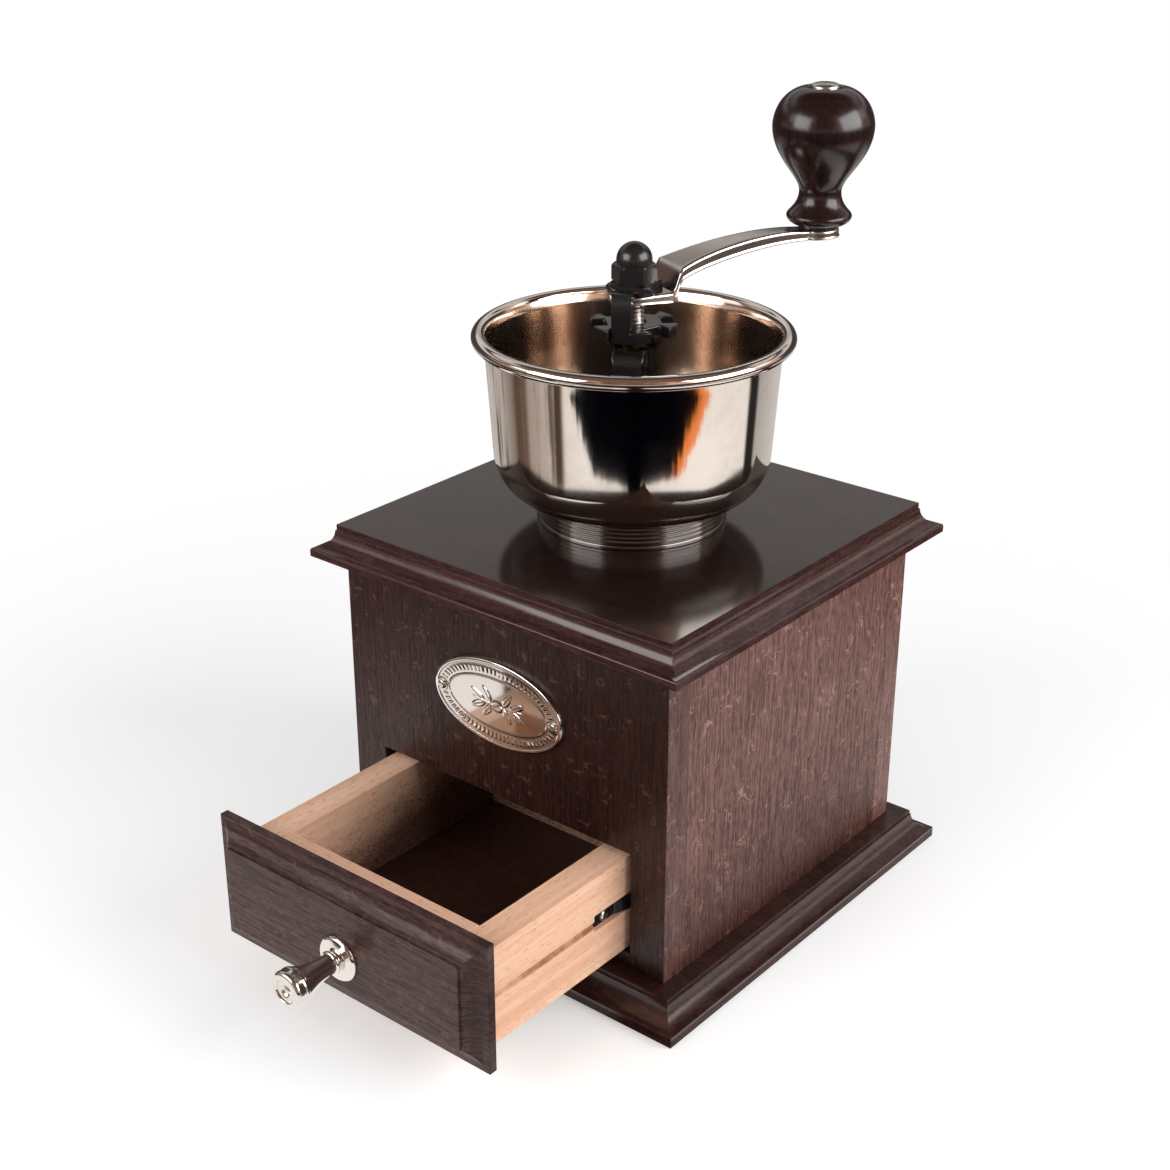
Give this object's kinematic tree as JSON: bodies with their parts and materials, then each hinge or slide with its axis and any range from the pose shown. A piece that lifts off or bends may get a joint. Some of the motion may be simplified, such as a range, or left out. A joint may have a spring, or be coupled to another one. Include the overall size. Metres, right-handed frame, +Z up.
{
  "type": "burr coffee grinder",
  "caption": "Hand-cranked burr coffee mill: a moulded wooden case with a sliding drawer, an open metal bowl hopper, a conical burr set and a crank with a turning knob.",
  "frame": {"origin": "centre of the base plate's underside", "axes": "+Z up along the crank shaft; -Y is the drawer side and the way the drawer slides out; +X is to the right of a person facing the drawer"},
  "size_m": [0.1248, 0.1909, 0.2102],
  "materials": {
    "oak": "dark stained open-grained wood, satin lacquer",
    "beech": "pale untreated close-grained wood",
    "knob_lacquer": "turned wood, dark red-brown gloss lacquer",
    "nickel": "polished nickel plate",
    "black_steel": "gloss black finish on steel",
    "burr_iron": "bare cast and machined iron",
    "steel": "bright zinc-plated steel",
    "bush_bronze": "machined bearing bronze"
  },
  "bodies": {
    "cabinet": {"base_plate": "oak", "front_panel": "oak", "back_panel": "oak", "left_panel": "oak", "right_panel": "oak", "top_plate": "oak", "left_runner": "beech", "right_runner": "beech", "base_screws": "steel", "badge": "nickel", "badge_pins": "steel", "mill_housing": "burr_iron", "outer_burr": "burr_iron", "lower_bridge": "burr_iron", "lower_bush": "bush_bronze", "lower_bridge_screws": "steel", "bowl_collar": "nickel", "hopper_bowl": "nickel", "bearing_arch": "black_steel", "upper_bush": "bush_bronze", "arch_screws": "steel"},
    "spindle": {"drive_shaft": "steel", "inner_burr": "burr_iron", "burr_nut": "steel", "coil_spring": "steel", "adjusting_nut": "black_steel", "crank_arm": "nickel", "locking_strap": "black_steel", "cap_nut": "black_steel", "knob_washer": "black_steel", "knob_pin": "steel"},
    "crank_knob": {"crank_knob": "knob_lacquer"},
    "drawer": {"drawer_front": "oak", "drawer_inner_front": "beech", "drawer_left_side": "beech", "drawer_right_side": "beech", "drawer_back": "beech", "drawer_bottom": "beech", "drawer_rosette": "nickel", "drawer_knob": "nickel", "drawer_knob_screw": "steel", "left_leaf_spring": "black_steel", "right_leaf_spring": "black_steel", "spring_rivets": "nickel"}
  },
  "joints": [
    {"name": "crank_turn", "type": "hinge", "parent": "cabinet", "child": "spindle", "pos_m": [0, 0, 0.1], "axis": [0, 0, 1], "continuous": true},
    {"name": "knob_spin", "type": "hinge", "parent": "spindle", "child": "crank_knob", "pos_m": [0.02176, 0.04888, 0.19], "axis": [0, 0, 1], "continuous": true},
    {"name": "drawer_slide", "type": "slide", "parent": "cabinet", "child": "drawer", "axis": [0, -1, 0], "range_m": [-0.0522, 0.02]}
  ]
}
